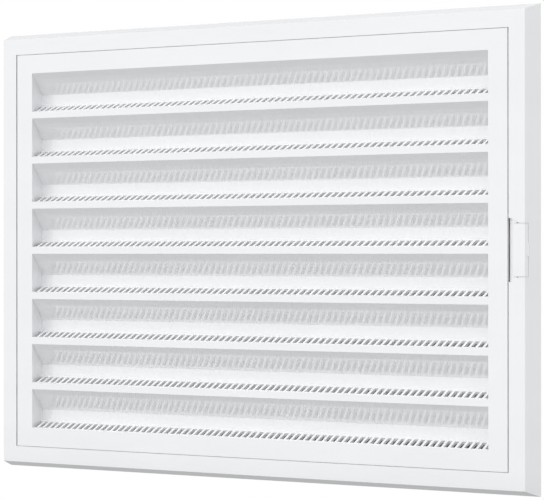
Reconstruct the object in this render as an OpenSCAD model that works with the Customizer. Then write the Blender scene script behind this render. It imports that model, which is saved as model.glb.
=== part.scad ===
// Louvred air grille with a hinged front panel, a slide lock and a fly screen.
// The mounting frame screws to a wall over a duct or vent cut-out. The louvred panel
// swings open on two steel pins at its left edge. Air passes each louvre through a row
// of narrow slots in its sloping floor, so rain and insects stay outside.
//
// Frame of reference: X to the right seen from the room, Y into the wall, Z up.
// Y = 0 is the wall surface, and the origin is the centre of the four screw holes.

/* [Overall] */
// Width of the frame at the wall
overall_w = 250; // [245:0.5:260]
// Height of the frame at the wall
overall_h = 187.6; // [187:0.2:200]
// Depth from the wall to the front face
depth = 9; // [9:0.1:10]
// How far each side slopes in from the wall to the front face
bevel = 2.7; // [2:0.1:3]

/* [Frame] */
// Width of the flat front border
border_w = 6.675; // [6.2:0.005:7]
// Thickness of the front border
border_t = 1.8; // [1.6:0.1:2]
// Thickness of the sloping outer skirt
skirt_t = 1.6; // [1.2:0.1:1.8]
// Thickness of the wall round the panel
inner_wall_t = 1.4; // [1.2:0.1:1.4]
// Thickness of the screw flange
flange_t = 2; // [1.6:0.1:2.2]
// Number of stiffening ribs in each long channel
long_ribs = 9; // [5:1:11]
// Number of stiffening ribs in each short channel
short_ribs = 5; // [3:2:5]

/* [Panel] */
// Visible gap between the frame and the panel at its left and right
panel_gap = 0.55; // [0.45:0.05:0.7]
// Visible gap above and below the panel
panel_gap_z = 0.25; // [0.25:0.05:0.5]
// Depth of the shoulder that closes part of that gap, on all sides but the hinge's
shoulder_d = 0.6; // [0.5:0.1:1]
// Thickness of the panel's face
panel_t = 1.8; // [1.6:0.1:2]
// Depth of the rim that stiffens the panel's edge
rim_depth = 4.5; // [4:0.1:4.6]
// Thickness of that rim and of the two end walls
rim_t = 1.2; // [1:0.1:1.4]

/* [Louvres] */
// Distance from one louvre to the next
row_pitch = 19.4; // [19:0.1:19.6]
// Height of each louvre's mouth
mouth_h = 16.6; // [16:0.1:17]
// Depth of the pocket behind each mouth
pocket_d = 7.4; // [7:0.1:7.6]
// How far the ceiling comes down from front to back
ceiling_drop = 9.1; // [8.5:0.1:9.5]
// Slope of the slotted floor
floor_angle = 23.2; // [20:0.1:25]
// Thickness of the floor and the ceiling
sheet_t = 1.2; // [1:0.1:1.3]
// Thickness of the back wall of each pocket
back_t = 1; // [0.8:0.1:1.2]
// Number of slots in each floor
slots = 74; // [60:1:74]
// Width of a slot
slot_w = 1.85; // [1.6:0.01:1.9]
// Width of the rib between two slots
rib_w = 1.06; // [1:0.01:1.07]
// Distance from the front face to the front end of the slots
slot_front = 0.7; // [0.6:0.1:0.8]
// Distance from the front face to the back end of the slots
slot_back = 5.5; // [4:0.1:6]

/* [Hinge] */
// Radius of the hinge pins
pin_r = 0.8; // [0.6:0.05:0.85]
// Length of each pin
pin_len = 9.8; // [9:0.1:9.9]
// Distance from the panel's left edge to the hinge axis
hinge_inset = 1.5; // [1.45:0.05:1.6]
// Distance from the front face to the hinge axis
hinge_back = 1.3; // [1.3:0.05:1.4]
// Radial clearance between pin and panel
hinge_clear = 0.05; // [0.02:0.01:0.08]

/* [Slide lock] */
// Height of the sliding tongue
tongue_h = 20.2; // [18:0.2:21]
// How far the tongue slides to lock
lock_travel = 1.64; // [1.5:0.02:1.7]
// Gap between the tongue and the frame above and below it
tongue_gap = 0.1; // [0.1:0.05:0.25]
// How far the tongue wraps down the sloping side
tongue_wrap = 1.9; // [1.7:0.1:2.1]
// Height of the notch that the tongue slides across
notch_h = 24.2; // [23.4:0.2:25]
// Depth of the notch
notch_d = 1.3; // [1.2:0.05:1.4]

/* [Fixing] */
// Screw hole spacing across
screw_x = 225; // [224.6:0.1:225.4]
// Screw hole spacing up and down
screw_z = 130; // [90:1:140]
// Radius of the screw holes
screw_r = 2.1; // [1.8:0.05:2.2]

/* [Fly screen] */
// Thickness of the screen's carrier frame
carrier_t = 2.2; // [2:0.1:3]
// Thickness of the net
mesh_t = 0.3; // [0.2:0.05:0.35]

/* [Hidden] */
$fn = 48;
spring_fn = 128;
eps = 0.01;
over = 1;
rows = 8;
white = "#f2f3f5";
steel = "#b9bcc0";

// Front face, and the half sizes of the rectangles that nest in it
face_y = -depth;
face_hw = overall_w / 2 - bevel;
face_hh = overall_h / 2 - bevel;
seat_hw = face_hw - border_w;
seat_hh = face_hh - border_w;
panel_hw = seat_hw - panel_gap;
panel_hh = seat_hh - panel_gap_z;
mouth_hw = (slots * slot_w + (slots - 1) * rib_w) / 2;
mouths_hh = ((rows - 1) * row_pitch + mouth_h) / 2;
bar_h = row_pitch - mouth_h;

// Frame behind the face
shoulder = 0.4;
shoulder_z = 0.12;
wall_hw = seat_hw + inner_wall_t;
wall_hh = seat_hh + inner_wall_t;
end_wall_x = mouth_hw + rim_t;
flange_hw = end_wall_x + 0.46;
flange_hh = mouths_hh + 2.3;
rib_t = 1.2;
rib_bite = 0.5;
gasket_t = 2;
gasket_w = 4.2;
gasket_inset = 1;

// Panel's side ribs
panel_rib_z = [-50, -30, 30, 50];
rib_below = 0.6;

// Louvre profile
ceiling_tan = ceiling_drop / pocket_d;
floor_tan = tan(floor_angle);
pocket_back_y = face_y + pocket_d;
louvre_back_y = pocket_back_y + back_t;
bar_d = 2;
slot_pitch = slot_w + rib_w;
ceiling_rise = sheet_t * sqrt(1 + ceiling_tan * ceiling_tan);
floor_rise = sheet_t / cos(floor_angle);
tab_h = 3;
wall_bite = 0.3;
drip = 0.3;

// Hinge
hinge_x = -panel_hw + hinge_inset;
hinge_y = face_y + hinge_back;
pin_in_frame = 5;
boss_w = 5.4;
boss_d = 2.4;
boss_h = 5.6;
panel_boss_h = 4.9;
panel_boss_reach = 2.2;
panel_corner_r = 0.2;
bore_end = 0.2;

// Slide lock, at the middle of the right side
tongue_hh = tongue_h / 2;
notch_hh = notch_h / 2;
tongue_x = seat_hw + lock_travel;
notch_chamfer = 0.6;
window_d = 3.8;
relief_r = 0.3;
relief_x = tongue_x + 2;
side_slope = bevel / depth;
runner_clear = 0.2;
runner_t = 1.6;
runner_front_y = face_y + border_t + runner_clear;
runner_back_y = runner_front_y + runner_t;
runner_x = tongue_x + 3.1;
wing_x = tongue_x + 1.54;
wing_hh = tongue_hh + 2.7;
nose_x = seat_hw + runner_clear;
nose_t = 1.4;
nose_chamfer = 0.5;
nose_hh = tongue_hh - 0.3;
window_hh = tongue_hh + 0.1;
tongue_t = 1.4;
tongue_end_gap = 0.2;
lap_t = notch_d - 0.1;
lap_w = lock_travel + 0.1;
lip_t = 1.2;
lip_root_t = 1.5;
catch_depth = 4.8;
catch_t = 1.2;
nub_h = 4.9;
nub_out = 0.4;
nub_t = 0.55;
nub_root = 0.6;
spring_room = 1;
cover_y = runner_back_y + spring_room;
cover_t = 1.2;
cover_x = wall_hw + 0.3;
cover_w = 4.3;
cover_hh = 20;
cover_screw_x = cover_x + 2.25;
cover_screw_z = 17;
cover_screw_r = 0.75;
cover_hole_clear = 0.2;
cover_boss_r = 2;
screw_grip = 2.4;
screw_bore = 2.6;
screw_head_r = 1.6;
screw_head_h = 0.9;
screw_slot_w = 0.4;
screw_slot_len = 2;
spring_t = 0.2;
spring_clear = 0.04;
spring_w = 1.3;
spring_hh = 7;
spring_x = tongue_x + 0.2;

// Fly screen
carrier_hw = flange_hw - 0.4;
carrier_hh = flange_hh + 2.1;
carrier_w = 3;
carrier_bar_w = 4.6;
rebate_d = 0.4;
rebate_w = 1;
hook_w = 8;
hook_t = 1;
hook_x = [-70, 0, 70];
hook_z = flange_hh - 0.2;
hook_catch = 0.8;
hook_back_y = -flange_t - 0.1;
hook_tip_y = hook_back_y - 0.8;

louvre_names = [for (i = [1:rows]) str("louvre_", i)];

// Height of the top and the bottom edge of louvre i's mouth, i = 0 at the top
function mouth_top(i) = mouths_hh - i * row_pitch;
function mouth_bottom(i) = mouth_top(i) - mouth_h;

// A box centred on X and Z, from y0 to y1
module slab(hw, hh, y0, y1) {
    translate([-hw, y0, -hh]) cube([2 * hw, y1 - y0, 2 * hh]);
}

// A box given by its low and high corners
module block(low, high) {
    translate(low) cube(high - low);
}

// Extrudes a profile drawn in X and Y along Z, centred on Z = 0
module along_z(length) {
    translate([0, 0, -length / 2]) linear_extrude(length) children();
}

// Extrudes a profile drawn in Y and Z along X, centred on X = 0
module along_x(length) {
    rotate([90, 0, 90]) translate([0, 0, -length / 2]) linear_extrude(length) children();
}

// A cylinder along +Y that starts at a point
module rod_y(start, r, length) {
    translate(start) rotate([-90, 0, 0]) cylinder(r = r, h = length);
}

// A four-sided block whose sides slope out from y0 to y1
module sloped_block(hw0, hh0, hw1, hh1, y0, y1) {
    intersection() {
        along_z(2 * (hh0 + hh1)) polygon([[-hw0, y0], [hw0, y0], [hw1, y1], [-hw1, y1]]);
        along_x(2 * (hw0 + hw1)) polygon([[y0, -hh0], [y0, hh0], [y1, hh1], [y1, -hh1]]);
    }
}

// ---- Mounting frame ----

// The hollow behind the border, which opens towards the wall
module frame_channel() {
    front = face_y + border_t;
    in_front = side_slope * border_t - skirt_t;
    in_back = side_slope * (depth + over) - skirt_t;
    difference() {
        sloped_block(face_hw + in_front, face_hh + in_front,
                     face_hw + in_back, face_hh + in_back, front, over);
        slab(wall_hw, wall_hh, face_y - over, 2 * over);
    }
}

// Cross ribs that stiffen the channel and carry the gasket
module frame_ribs() {
    front = face_y + border_t - eps;
    back = -gasket_t;
    out = side_slope * border_t - skirt_t + rib_bite;
    for (side = [-1, 1]) {
        for (i = [0:long_ribs - 1]) {
            x = (i - (long_ribs - 1) / 2) * 2 * seat_hw / long_ribs;
            z0 = wall_hh - eps;
            z1 = face_hh + out;
            block([x - rib_t / 2, front, side > 0 ? z0 : -z1],
                  [x + rib_t / 2, back, side > 0 ? z1 : -z0]);
        }
        for (i = [0:short_ribs - 1]) {
            z = (i - (short_ribs - 1) / 2) * 2 * seat_hh / short_ribs;
            x0 = wall_hw - eps;
            x1 = face_hw + out;
            if (side < 0 || abs(z) > cover_hh + over)
                block([side > 0 ? x0 : -x1, front, z - rib_t / 2],
                      [side > 0 ? x1 : -x0, back, z + rib_t / 2]);
        }
    }
}

// Solid corners round the two hinge pins
module frame_hinge_bosses() {
    for (up = [-1, 1]) {
        z0 = up > 0 ? seat_hh : -seat_hh - boss_h;
        block([hinge_x - boss_w / 2, face_y + border_t - eps, z0],
              [hinge_x + boss_w / 2, face_y + border_t + boss_d, z0 + boss_h]);
    }
}

// The notch, the window under its floor, and the opening that the lock works in. Small
// round reliefs end the slits above and below the tongue.
module lock_cuts() {
    x0 = seat_hw - over;
    c = notch_chamfer;
    translate([0, face_y - over, 0]) rotate([-90, 0, 0]) linear_extrude(notch_d + over)
        polygon([[x0, -notch_hh], [tongue_x - c, -notch_hh], [tongue_x, c - notch_hh],
                 [tongue_x, notch_hh - c], [tongue_x - c, notch_hh], [x0, notch_hh]]);
    block([x0, face_y, -notch_hh], [seat_hw, face_y + window_d, notch_hh]);
    block([x0, face_y + border_t, -notch_hh], [tongue_x, face_y + window_d, notch_hh]);
    block([tongue_x - eps, face_y - over, -tongue_hh - tongue_gap],
          [overall_w, face_y + tongue_wrap + tongue_end_gap, tongue_hh + tongue_gap]);
    for (up = [-1, 1])
        rod_y([relief_x, face_y - over, up * (tongue_hh + tongue_gap)], relief_r, border_t + 2 * over);
}

module mounting_frame() {
    color(white) difference() {
        union() {
            difference() {
                sloped_block(face_hw, face_hh, overall_w / 2, overall_h / 2, face_y, 0);
                slab(seat_hw, seat_hh, face_y - over, face_y + shoulder_d);
                block([-seat_hw, face_y, shoulder_z - seat_hh],
                      [seat_hw - shoulder, -flange_t, seat_hh - shoulder_z]);
                slab(flange_hw, flange_hh, -flange_t - over, over);
                frame_channel();
            }
            frame_ribs();
            frame_hinge_bosses();
            for (up = [-1, 1])
                rod_y([cover_screw_x, face_y + border_t - eps, up * cover_screw_z],
                      cover_boss_r, cover_y - face_y - border_t + eps);
        }
        lock_cuts();
        for (side = [-1, 1], up = [-1, 1])
            rod_y([side * screw_x / 2, -flange_t - over, up * screw_z / 2],
                  screw_r, flange_t + 2 * over);
        for (up = [-1, 1])
            rod_y([cover_screw_x, cover_y - screw_bore, up * cover_screw_z],
                  cover_screw_r, screw_bore + over);
        for (up = [0, 1])
            mirror([0, 0, up]) translate([hinge_x, hinge_y, seat_hh - over])
                cylinder(r = pin_r, h = pin_in_frame + over);
    }
}

// Foam strip that seals the frame to the wall
module wall_gasket() {
    hw = wall_hw + gasket_inset;
    hh = wall_hh + gasket_inset;
    color("#3b3d40") difference() {
        slab(hw + gasket_w, hh + gasket_w, -gasket_t, 0);
        slab(hw, hh, -gasket_t - over, over);
    }
}

// ---- Louvred panel ----

// Solid behind each bar's face: its top slopes with the floor above, its underside with
// the ceiling below
module bar_profile(i) {
    top = mouth_top(i);
    polygon([[face_y, top], [face_y, top + bar_h],
             [face_y + bar_d, top + bar_h + bar_d * floor_tan],
             [face_y + bar_d, top - bar_d * ceiling_tan]]);
}

// The seat that the front of a slotted floor lies in
module floor_slab(i) {
    front = slot_front / cos(floor_angle);
    translate([0, face_y, mouth_bottom(i)]) rotate([floor_angle, 0, 0])
        translate([-mouth_hw, front, -sheet_t]) cube([2 * mouth_hw, pocket_d, sheet_t]);
}

// The two end tabs of a louvre, or the slots for them
module louvre_tabs(i) {
    z = mouth_bottom(i) + (mouth_h - ceiling_drop + pocket_d * floor_tan) / 2;
    for (x0 = [-end_wall_x, mouth_hw])
        block([x0, pocket_back_y, z - tab_h / 2], [x0 + rim_t, louvre_back_y, z + tab_h / 2]);
}

module panel_rim() {
    difference() {
        slab(panel_hw, panel_hh, face_y, face_y + rim_depth);
        slab(panel_hw - rim_t, panel_hh - rim_t, face_y + panel_t, face_y + rim_depth + over);
        slab(mouth_hw, mouths_hh, face_y - over, face_y + panel_t + over);
    }
}

// Short ribs between the rim and the end walls
module panel_ribs() {
    for (side = [-1, 1], z = panel_rib_z) {
        x0 = end_wall_x - eps;
        x1 = panel_hw - eps;
        block([side > 0 ? x0 : -x1, face_y + panel_t - eps, z - rib_t / 2],
              [side > 0 ? x1 : -x0, face_y + rim_depth - rib_below, z + rib_t / 2]);
    }
}

// The rim is deeper where the lock's nose goes behind it
module panel_catch() {
    hh = window_hh + catch_t;
    block([panel_hw - rim_t, face_y + panel_t - eps, -hh],
          [panel_hw, face_y + catch_depth, hh]);
}

module panel_hinge_bosses() {
    for (up = [-1, 1]) {
        z0 = up > 0 ? panel_hh - panel_boss_h : -panel_hh;
        block([-panel_hw, face_y + panel_t - eps, z0],
              [hinge_x + panel_boss_reach, hinge_y + panel_boss_reach, z0 + panel_boss_h]);
    }
}

// Rounds the front left edge, which turns past the frame
module left_edge_rounding() {
    translate([-panel_hw, face_y, 0]) along_z(2 * panel_hh + 2 * over) difference() {
        translate([-over, -over]) square(panel_corner_r + over);
        translate([panel_corner_r, panel_corner_r]) circle(r = panel_corner_r);
    }
}

module louvre_panel() {
    color(white) difference() {
        union() {
            panel_rim();
            panel_ribs();
            panel_catch();
            panel_hinge_bosses();
            for (side = [-1, 1])
                block([side > 0 ? mouth_hw : -end_wall_x, face_y + eps, -mouths_hh - 1],
                      [side > 0 ? end_wall_x : -mouth_hw, louvre_back_y, mouths_hh + 1]);
            for (i = [0:rows]) along_x(2 * mouth_hw + rim_t) bar_profile(i);
        }
        for (i = [0:rows - 1]) {
            floor_slab(i);
            louvre_tabs(i);
        }
        for (up = [0, 1])
            mirror([0, 0, up])
                translate([hinge_x, hinge_y, seat_hh + pin_in_frame - pin_len - bore_end])
                    cylinder(r = pin_r + hinge_clear, h = pin_len);
        block([panel_hw - rim_t - over, face_y + panel_t, -window_hh],
              [panel_hw + over, face_y + catch_depth - catch_t, window_hh]);
        left_edge_rounding();
    }
}

// Slotted floor, drawn flat: one outline with an open notch for every slot
module floor_comb() {
    front = slot_front / cos(floor_angle);
    notch = slot_back / cos(floor_angle);
    back = (pocket_d + wall_bite) / cos(floor_angle);
    rib_edges = [for (k = [0:slots - 2], e = [0, 1, 2, 3])
        let (x = -mouth_hw + slot_w + k * slot_pitch)
        [e < 2 ? x : x + rib_w, e == 1 || e == 2 ? front : notch]];
    polygon(concat([[-mouth_hw, back], [-mouth_hw, notch]], rib_edges,
                   [[mouth_hw, notch], [mouth_hw, back]]));
}

// Ceiling and back wall, in Y from the front face and Z from the mouth's bottom edge. The
// back wall ends in a small drip edge under the floor.
module louvre_profile() {
    back_d = pocket_d + back_t;
    drip_z = pocket_d * floor_tan - floor_rise - drip;
    polygon([
        [bar_d, mouth_h - bar_d * ceiling_tan],
        [pocket_d, mouth_h - ceiling_drop],
        [pocket_d, drip_z],
        [back_d, drip_z],
        [back_d, mouth_h - back_d * ceiling_tan + ceiling_rise],
        [bar_d, mouth_h - bar_d * ceiling_tan + ceiling_rise]]);
}

// One louvre: it slides in from behind and its end tabs lie in the panel's end walls
module louvre(i) {
    color(white) union() {
        translate([0, face_y, mouth_bottom(i)]) {
            along_x(2 * mouth_hw) louvre_profile();
            rotate([floor_angle, 0, 0]) translate([0, 0, -sheet_t])
                linear_extrude(sheet_t) floor_comb();
        }
        louvre_tabs(i);
    }
}

// ---- Hinge ----

module hinge_pin(up) {
    color(steel) mirror([0, 0, up ? 0 : 1])
        translate([hinge_x, hinge_y, seat_hh + pin_in_frame - pin_len])
            cylinder(r = pin_r, h = pin_len);
}

// ---- Slide lock ----

// Tongue, shown unlocked: its face is flush with the border and wraps down the side. A
// groove in its left edge straddles the floor of the notch as it slides.
module lock_slider() {
    lip_y = face_y + tongue_wrap;
    lip_x = face_hw + side_slope * tongue_wrap;
    plate_y = face_y + tongue_t;
    color("#eef0f2") union() {
        along_z(tongue_h) polygon([
            [tongue_x, face_y], [face_hw, face_y], [lip_x, lip_y], [lip_x - lip_t, lip_y],
            [lip_x - lip_root_t, plate_y], [runner_x, plate_y], [runner_x, runner_back_y],
            [tongue_x, runner_back_y], [tongue_x, runner_front_y],
            [tongue_x + lap_w, runner_front_y], [tongue_x + lap_w, face_y + lap_t],
            [tongue_x, face_y + lap_t]]);
        block([wing_x, runner_front_y, -wing_hh], [runner_x, runner_back_y, wing_hh]);
        along_z(2 * nose_hh) polygon([
            [tongue_x + eps, runner_front_y], [nose_x + nose_chamfer, runner_front_y],
            [nose_x, runner_front_y + nose_chamfer], [nose_x, runner_front_y + nose_t],
            [tongue_x + eps, runner_front_y + nose_t]]);
        block([lip_x - nub_root, lip_y - nub_t, -nub_h / 2], [lip_x + nub_out, lip_y, nub_h / 2]);
    }
}

// Bowed leaf spring that presses the slider forward, so that it stays where it is put
module lock_spring() {
    bow = spring_room - spring_clear;
    r = (spring_hh * spring_hh + bow * bow) / (2 * bow);
    centre_y = cover_y - bow + r;
    color(steel) intersection() {
        translate([spring_x, centre_y, 0]) rotate([0, 90, 0]) difference() {
            cylinder(r = r, h = spring_w, $fn = spring_fn);
            translate([0, 0, -over])
                cylinder(r = r - spring_t, h = spring_w + 2 * over, $fn = spring_fn);
        }
        block([spring_x - over, cover_y - bow - over, -spring_hh - over],
              [spring_x + spring_w + over, cover_y, spring_hh + over]);
    }
}

// Plate that keeps the slider in the frame, screwed on from behind
module lock_cover() {
    color("#e6e8ea") difference() {
        block([cover_x, cover_y, -cover_hh], [cover_x + cover_w, cover_y + cover_t, cover_hh]);
        for (up = [-1, 1])
            rod_y([cover_screw_x, cover_y - over, up * cover_screw_z],
                  cover_screw_r + cover_hole_clear, cover_t + 2 * over);
    }
}

module lock_cover_screws() {
    head_y = cover_y + cover_t;
    color(steel) for (up = [-1, 1]) difference() {
        union() {
            rod_y([cover_screw_x, cover_y - screw_grip, up * cover_screw_z],
                  cover_screw_r, screw_grip + cover_t + eps);
            rod_y([cover_screw_x, head_y, up * cover_screw_z], screw_head_r, screw_head_h);
        }
        for (turn = [0, 90])
            translate([cover_screw_x, head_y + screw_head_h, up * cover_screw_z])
                rotate([0, turn, 0])
                    cube([screw_slot_len, screw_head_h, screw_slot_w], center = true);
    }
}

// ---- Fly screen ----

// Carrier behind the flange: hooks at the top and bottom snap over the flange
module screen_carrier() {
    color("#55585c") difference() {
        union() {
            slab(carrier_hw, carrier_hh, 0, carrier_t);
            for (up = [0, 1], x = hook_x) mirror([0, 0, up]) {
                block([x - hook_w / 2, hook_tip_y, hook_z - hook_t],
                      [x + hook_w / 2, eps, hook_z]);
                translate([x, 0, 0]) along_x(hook_w) polygon([
                    [hook_tip_y, hook_z - eps], [hook_back_y, hook_z - eps],
                    [hook_back_y, hook_z + hook_catch]]);
            }
        }
        slab(carrier_hw - carrier_w, carrier_hh - carrier_bar_w, -over, carrier_t + over);
        slab(carrier_hw - rebate_w, carrier_hh - rebate_w, carrier_t - rebate_d, carrier_t + over);
    }
}

// Fine net, as one thin sheet
module fly_screen() {
    color("#44474a")
        slab(carrier_hw - rebate_w, carrier_hh - rebate_w,
             carrier_t - rebate_d, carrier_t - rebate_d + mesh_t);
}

mounting_frame();
wall_gasket();
louvre_panel();
for (i = [0:rows - 1])
    louvre(i);
hinge_pin(true);  // upper_hinge_pin
hinge_pin(false);  // lower_hinge_pin
lock_slider();
lock_spring();
lock_cover();
lock_cover_screws();
screen_carrier();
fly_screen();
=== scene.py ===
"""Looks of the louvred air grille.

Glossy white mouldings, steel hinge pins and an extruded net fly screen.
"""
import math

import bmesh
import bpy
from mathutils import Matrix, Vector


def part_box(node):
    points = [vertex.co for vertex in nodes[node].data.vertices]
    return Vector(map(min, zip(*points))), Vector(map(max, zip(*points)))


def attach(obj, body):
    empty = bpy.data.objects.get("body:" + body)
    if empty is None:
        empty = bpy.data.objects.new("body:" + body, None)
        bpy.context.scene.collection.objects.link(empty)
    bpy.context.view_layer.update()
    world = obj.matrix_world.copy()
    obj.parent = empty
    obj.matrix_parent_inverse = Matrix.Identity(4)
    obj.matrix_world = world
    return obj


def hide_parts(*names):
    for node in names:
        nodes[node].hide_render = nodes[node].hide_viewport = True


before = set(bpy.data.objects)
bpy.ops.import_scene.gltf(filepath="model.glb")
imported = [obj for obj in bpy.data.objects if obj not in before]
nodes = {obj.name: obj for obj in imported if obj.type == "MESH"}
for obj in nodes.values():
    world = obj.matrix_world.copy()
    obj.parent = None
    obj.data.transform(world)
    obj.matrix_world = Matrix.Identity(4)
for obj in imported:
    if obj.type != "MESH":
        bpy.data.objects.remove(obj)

MM = 0.001
# A slot and the rib beside it, as in the CAD
SLOT_PITCH = 2.91 * MM
LOUVRES = 8
X, Y, Z = 0, 1, 2
# Edges that turn by more than this are rounded
EDGE_ANGLE = math.radians(28)
WELD_DISTANCE = 0.002 * MM
# Places of the mix node's colour sockets, whose names are not unique
MIX_A, MIX_B, MIX_RESULT = 6, 7, 2
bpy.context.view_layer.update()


# ---- Shader helpers ----

class Shader:
    """A material's node tree, with a short way to add and link nodes."""

    def __init__(self, name):
        self.material = bpy.data.materials.new(name)
        self.material.use_nodes = True
        self.tree = self.material.node_tree
        self.tree.nodes.clear()
        self.output = self.add("ShaderNodeOutputMaterial")
        self.surface = self.add("ShaderNodeBsdfPrincipled")
        self.link(self.surface.outputs["BSDF"], self.output.inputs["Surface"])
        self.place = self.add("ShaderNodeTexCoord").outputs["Object"]

    def add(self, kind, **settings):
        node = self.tree.nodes.new(kind)
        for key, value in settings.items():
            setattr(node, key, value)
        return node

    def link(self, source, target):
        self.tree.links.new(source, target)

    def noise(self, scale_per_mm, detail=3.0, stretch=None):
        """Noise with this many features per millimetre, as a 0 to 1 value."""
        vector = self.place
        if stretch:
            mapping = self.add("ShaderNodeMapping")
            mapping.inputs["Scale"].default_value = stretch
            self.link(vector, mapping.inputs["Vector"])
            vector = mapping.outputs["Vector"]
        node = self.add("ShaderNodeTexNoise")
        node.inputs["Scale"].default_value = scale_per_mm / MM
        node.inputs["Detail"].default_value = detail
        self.link(vector, node.inputs["Vector"])
        return node.outputs["Fac"]

    def span(self, value, low, high, from_low=0.3, from_high=0.7):
        """Maps a value that lies mostly between from_low and from_high onto low to high."""
        node = self.add("ShaderNodeMapRange")
        node.inputs["From Min"].default_value = from_low
        node.inputs["From Max"].default_value = from_high
        node.inputs["To Min"].default_value = low
        node.inputs["To Max"].default_value = high
        self.link(value, node.inputs["Value"])
        return node.outputs["Result"]

    def maths(self, operation, a, b):
        node = self.add("ShaderNodeMath", operation=operation)
        for socket, value in zip(node.inputs, (a, b)):
            if isinstance(value, (int, float)):
                socket.default_value = value
            else:
                self.link(value, socket)
        return node.outputs["Value"]

    def mix(self, factor, a, b):
        """Mixes two colours by a factor."""
        node = self.add("ShaderNodeMix", data_type="RGBA")
        self.link(factor, node.inputs["Factor"])
        for socket, value in ((node.inputs[MIX_A], a), (node.inputs[MIX_B], b)):
            if isinstance(value, tuple):
                socket.default_value = (*value, 1.0)
            else:
                self.link(value, socket)
        return node.outputs[MIX_RESULT]

    def edges(self, radius_mm):
        """Close to 1 on sharp edges and 0 on flat faces."""
        bevel = self.add("ShaderNodeBevel", samples=4)
        bevel.inputs["Radius"].default_value = radius_mm * MM
        normal = self.add("ShaderNodeNewGeometry").outputs["Normal"]
        dot = self.add("ShaderNodeVectorMath", operation="DOT_PRODUCT")
        self.link(bevel.outputs["Normal"], dot.inputs[0])
        self.link(normal, dot.inputs[1])
        return self.span(dot.outputs["Value"], 1.0, 0.0, 0.75, 1.0)

    def bump(self, *layers):
        """Adds bumps, each a (height value, depth in mm) pair, one on top of the other."""
        normal = None
        for height, depth_mm in layers:
            node = self.add("ShaderNodeBump")
            node.inputs["Strength"].default_value = 1.0
            node.inputs["Distance"].default_value = depth_mm * MM
            self.link(height, node.inputs["Height"])
            if normal:
                self.link(normal, node.inputs["Normal"])
            normal = node.outputs["Normal"]
        self.link(normal, self.surface.inputs["Normal"])

    def colour(self, value):
        socket = self.surface.inputs["Base Color"]
        if isinstance(value, tuple):
            socket.default_value = (*value, 1.0)
        else:
            self.link(value, socket)

    def set(self, **values):
        """Sets the shader's own sockets, named with underscores for spaces."""
        for name, value in values.items():
            self.surface.inputs[name.replace("_", " ")].default_value = value


def moulded_plastic(name, tint, roughness, shade=0.975, ior=1.5):
    """Glossy moulded ABS: faint flow shading, fine orange peel, and slightly duller worn edges."""
    s = Shader(name)
    flow = s.noise(0.03, detail=4.0, stretch=(1.0, 1.0, 2.5))
    cloud = s.noise(0.4, detail=2.0)
    peel = s.noise(1.1, detail=2.0)
    grain = s.noise(9.0, detail=1.0)
    edge = s.edges(0.35)
    darker = tuple(c * shade for c in tint)
    worn = tuple(min(1.0, c * 1.02) for c in tint)
    body = s.mix(s.span(flow, 0.0, 1.0), darker, tint)
    s.colour(s.mix(s.maths("MULTIPLY", edge, 0.35), body, worn))
    rough = s.span(cloud, roughness * 0.85, roughness * 1.2)
    s.link(s.maths("ADD", rough, s.maths("MULTIPLY", edge, 0.08)), s.surface.inputs["Roughness"])
    s.bump((peel, 0.0015), (grain, 0.0004))
    s.set(IOR=ior)
    return s.material


def drawn_steel(name, tint, roughness, grain_axis):
    """Bare steel with drawing lines along one axis."""
    s = Shader(name)
    stretch = [1.0, 1.0, 1.0]
    stretch[grain_axis] = 0.06
    lines = s.noise(14.0, detail=3.0, stretch=tuple(stretch))
    patches = s.noise(0.8, detail=3.0)
    s.colour(s.mix(s.span(patches, 0.0, 1.0), tuple(c * 0.86 for c in tint), tint))
    rough = s.span(lines, roughness * 0.7, roughness * 1.3)
    s.link(rough, s.surface.inputs["Roughness"])
    s.bump((lines, 0.004))
    s.set(Metallic=1.0)
    return s.material


def closed_cell_foam(name, tint):
    """Dark foam with fine cells and a skin that is a little shinier than the cells."""
    s = Shader(name)
    cells = s.add("ShaderNodeTexVoronoi")
    cells.inputs["Scale"].default_value = 2.6 / MM
    s.link(s.place, cells.inputs["Vector"])
    depth = cells.outputs["Distance"]
    patches = s.noise(0.25, detail=4.0)
    s.colour(s.mix(s.span(patches, 0.0, 1.0), tuple(c * 0.7 for c in tint), tint))
    s.link(s.span(depth, 0.7, 0.95, 0.0, 0.6), s.surface.inputs["Roughness"])
    s.bump((depth, 0.12), (patches, 0.1))
    return s.material


def net_plastic(name, tint):
    """Extruded net: a little colour change along the strands and a fine grain."""
    s = Shader(name)
    along = s.noise(0.6, detail=3.0)
    speckle = s.noise(8.0, detail=1.0)
    s.colour(s.mix(s.span(along, 0.0, 1.0), tuple(c * 0.75 for c in tint), tint))
    s.link(s.span(speckle, 0.42, 0.6), s.surface.inputs["Roughness"])
    s.bump((speckle, 0.008))
    return s.material


# ---- Stage, light and camera ----

def make_camera():
    """To the right of the grille, level with its middle, and turned back to it by 30 degrees."""
    turn, tilt, roll = (math.radians(a) for a in (30.08, 0.06, -0.03))
    forward = Vector((-math.sin(turn) * math.cos(tilt),
                      math.cos(turn) * math.cos(tilt),
                      math.sin(tilt)))
    level = Vector((math.cos(turn), math.sin(turn), 0.0))
    upright = level.cross(forward)
    right = math.cos(roll) * level + math.sin(roll) * upright
    up = right.cross(forward)
    camera = bpy.data.objects.new("camera", bpy.data.cameras.new("camera"))
    camera.data.sensor_width = 36.0
    camera.data.lens = 142.94
    camera.data.clip_end = 20.0
    place = Vector((447.8, -761.2, -0.8)) * MM
    turned = Matrix((right, up, -forward)).transposed().to_4x4()
    camera.matrix_world = Matrix.Translation(place) @ turned
    bpy.context.scene.collection.objects.link(camera)
    bpy.context.scene.camera = camera


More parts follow.
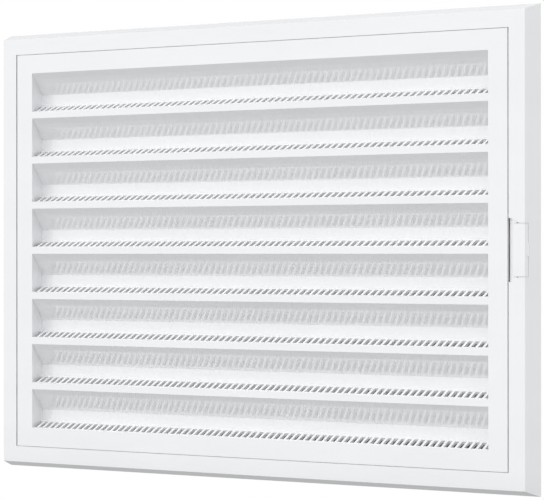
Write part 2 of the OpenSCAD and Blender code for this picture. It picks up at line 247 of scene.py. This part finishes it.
def stage_material(name, seen, lit):
    """White where it is seen directly, and a plain matt surface for the light it gives back."""
    s = Shader(name)
    s.colour(lit)
    s.set(Roughness=0.9, Specular_IOR_Level=0.1)
    glow = s.add("ShaderNodeEmission")
    glow.inputs["Color"].default_value = (*seen, 1.0)
    ray = s.add("ShaderNodeLightPath")
    mix = s.add("ShaderNodeMixShader")
    s.link(ray.outputs["Is Camera Ray"], mix.inputs["Fac"])
    s.link(s.surface.outputs["BSDF"], mix.inputs[1])
    s.link(glow.outputs["Emission"], mix.inputs[2])
    s.link(mix.outputs["Shader"], s.output.inputs["Surface"])
    return s.material


def make_floor():
    """A wide pale floor under the grille."""
    half, below = 3.0, 0.45
    mesh = bpy.data.meshes.new("floor")
    corners = [(-half, -half, -below), (half, -half, -below),
               (half, half, -below), (-half, half, -below)]
    mesh.from_pydata(corners, [], [(0, 1, 2, 3)])
    floor = bpy.data.objects.new("floor", mesh)
    bpy.context.scene.collection.objects.link(floor)
    mesh.materials.append(stage_material("floor_white", (1.0, 1.0, 1.0), (0.34, 0.34, 0.34)))


def make_world(base, towards, gloss_base, gloss_towards):
    """A soft studio dome, brighter towards one direction, with its own gradient in reflections."""
    dimmest = 0.05
    world = bpy.data.worlds.new("studio")
    world.use_nodes = True
    tree = world.node_tree
    tree.nodes.clear()
    place = tree.nodes.new("ShaderNodeTexCoord").outputs["Generated"]
    ray = tree.nodes.new("ShaderNodeLightPath")

    def background(colour, start=1.0, direction=None):
        """A background whose strength is start, plus the ray's part along a direction."""
        shader = tree.nodes.new("ShaderNodeBackground")
        shader.inputs["Color"].default_value = (*colour, 1.0)
        shader.inputs["Strength"].default_value = start
        if direction:
            dot = tree.nodes.new("ShaderNodeVectorMath")
            dot.operation = "DOT_PRODUCT"
            dot.inputs[1].default_value = direction
            tree.links.new(place, dot.inputs[0])
            add = tree.nodes.new("ShaderNodeMath")
            add.operation = "ADD"
            add.inputs[1].default_value = start
            tree.links.new(dot.outputs["Value"], add.inputs[0])
            lowest = tree.nodes.new("ShaderNodeMath")
            lowest.operation = "MAXIMUM"
            lowest.inputs[1].default_value = dimmest
            tree.links.new(add.outputs["Value"], lowest.inputs[0])
            tree.links.new(lowest.outputs["Value"], shader.inputs["Strength"])
        return shader.outputs["Background"]

    def choose(kind_of_ray, otherwise, chosen):
        mix = tree.nodes.new("ShaderNodeMixShader")
        tree.links.new(ray.outputs[kind_of_ray], mix.inputs["Fac"])
        tree.links.new(otherwise, mix.inputs[1])
        tree.links.new(chosen, mix.inputs[2])
        return mix.outputs["Shader"]

    light = background((0.99, 0.994, 1.0), base, towards)
    reflected = background((0.99, 0.995, 1.0), gloss_base, gloss_towards)
    backdrop = background((1.0, 1.0, 1.0))
    shown = choose("Is Camera Ray", choose("Is Glossy Ray", light, reflected), backdrop)
    output = tree.nodes.new("ShaderNodeOutputWorld")
    tree.links.new(shown, output.inputs["Surface"])
    bpy.context.scene.world = world


def soft_light(name, place, size, power):
    """A square area light aimed at the middle of the grille."""
    light = bpy.data.lights.new(name, "AREA")
    light.size = size
    light.energy = power
    lamp = bpy.data.objects.new(name, light)
    lamp.location = place
    lamp.rotation_euler = (-Vector(place)).to_track_quat("-Z", "Y").to_euler()
    bpy.context.scene.collection.objects.link(lamp)


# ---- Geometry on top of the CAD parts ----

def soften(node, width_mm, segments=2):
    """Rounds a moulded part's sharp edges, as its tool would, without touching the CAD mesh."""
    part = nodes[node]
    weld = part.modifiers.new("join_faces", "WELD")
    weld.merge_threshold = WELD_DISTANCE
    bevel = part.modifiers.new("soft_edges", "BEVEL")
    bevel.width = width_mm * MM
    bevel.segments = segments
    bevel.limit_method = "ANGLE"
    bevel.angle_limit = EDGE_ANGLE
    bevel.use_clamp_overlap = True
    bevel.miter_outer = "MITER_ARC"
    flat = part.modifiers.new("flat_faces", "WEIGHTED_NORMAL")
    flat.mode = "FACE_AREA"
    flat.weight = 100
    flat.keep_sharp = False


def paint(node, material):
    part = nodes[node]
    part.data.materials.clear()
    part.data.materials.append(material)


def screen_net():
    """The fly screen: flat strands across, fused to a second layer of strands up and down."""
    low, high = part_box("fly_screen")
    strands_per_slot = 8
    pitch, width = SLOT_PITCH / strands_per_slot, 0.19 * MM
    # Over half the sheet, so that the two layers are fused where they cross
    strand_t = (high.y - low.y) * 0.55
    mesh = bmesh.new()

    def strands(axis, y0, y1):
        count = int((high[axis] - low[axis] - width) / pitch) + 1
        first = (low[axis] + high[axis] - (count - 1) * pitch) / 2
        for k in range(count):
            start, end = Vector((low.x, y0, low.z)), Vector((high.x, y1, high.z))
            start[axis] = first + k * pitch - width / 2
            end[axis] = start[axis] + width
            place = Matrix.Translation((start + end) / 2) @ Matrix.Diagonal((*(end - start), 1.0))
            bmesh.ops.create_cube(mesh, size=1.0, matrix=place)

    strands(X, low.y, low.y + strand_t)
    strands(Z, high.y - strand_t, high.y)
    data = bpy.data.meshes.new("fly_screen_net")
    mesh.to_mesh(data)
    mesh.free()
    net = bpy.data.objects.new("fly_screen_net", data)
    bpy.context.scene.collection.objects.link(net)
    data.materials.append(net_plastic("screen_mesh", (0.20, 0.204, 0.21)))
    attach(net, "frame")
    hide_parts("fly_screen")


# ---- The scene ----

make_camera()
make_floor()
make_world(base=1.07, towards=(-0.2, 0.0, 0.54), gloss_base=0.84, gloss_towards=(0.2, -0.53, 0.25))
soft_light("key", (-0.7, -1.1, 0.9), 0.9, 1.5)
bpy.context.scene.view_settings.view_transform = "Standard"

gloss_white = moulded_plastic("gloss_white", (0.870, 0.878, 0.890), 0.08, ior=2.1)
louvre_white = moulded_plastic("louvre_white", (0.905, 0.912, 0.922), 0.05, ior=2.15)
cover_white = moulded_plastic("cover_abs", (0.76, 0.77, 0.78), 0.42)
carrier_grey = moulded_plastic("carrier_abs", (0.085, 0.088, 0.092), 0.45, shade=0.85)
pin_steel = drawn_steel("pin_steel", (0.62, 0.63, 0.65), 0.28, Z)

for node, material, edge in (
        ("mounting_frame", gloss_white, 0.12),
        ("louvre_panel", gloss_white, 0.08),
        ("lock_slider", gloss_white, 0.06),
        ("lock_cover", cover_white, 0.2),
        ("screen_carrier", carrier_grey, 0.2),
        ("wall_gasket", closed_cell_foam("gasket_foam", (0.03, 0.031, 0.033)), 0.3),
        ("upper_hinge_pin", pin_steel, 0.2),
        ("lower_hinge_pin", pin_steel, 0.2),
        ("lock_spring", drawn_steel("spring_steel", (0.55, 0.56, 0.58), 0.3, Z), 0.04),
        ("lock_cover_screws", drawn_steel("screw_steel", (0.60, 0.60, 0.58), 0.35, Y), 0.12)):
    soften(node, edge)
    paint(node, material)
for i in range(1, LOUVRES + 1):
    soften(f"louvre_{i}", 0.05, segments=1)
    paint(f"louvre_{i}", louvre_white)
screen_net()
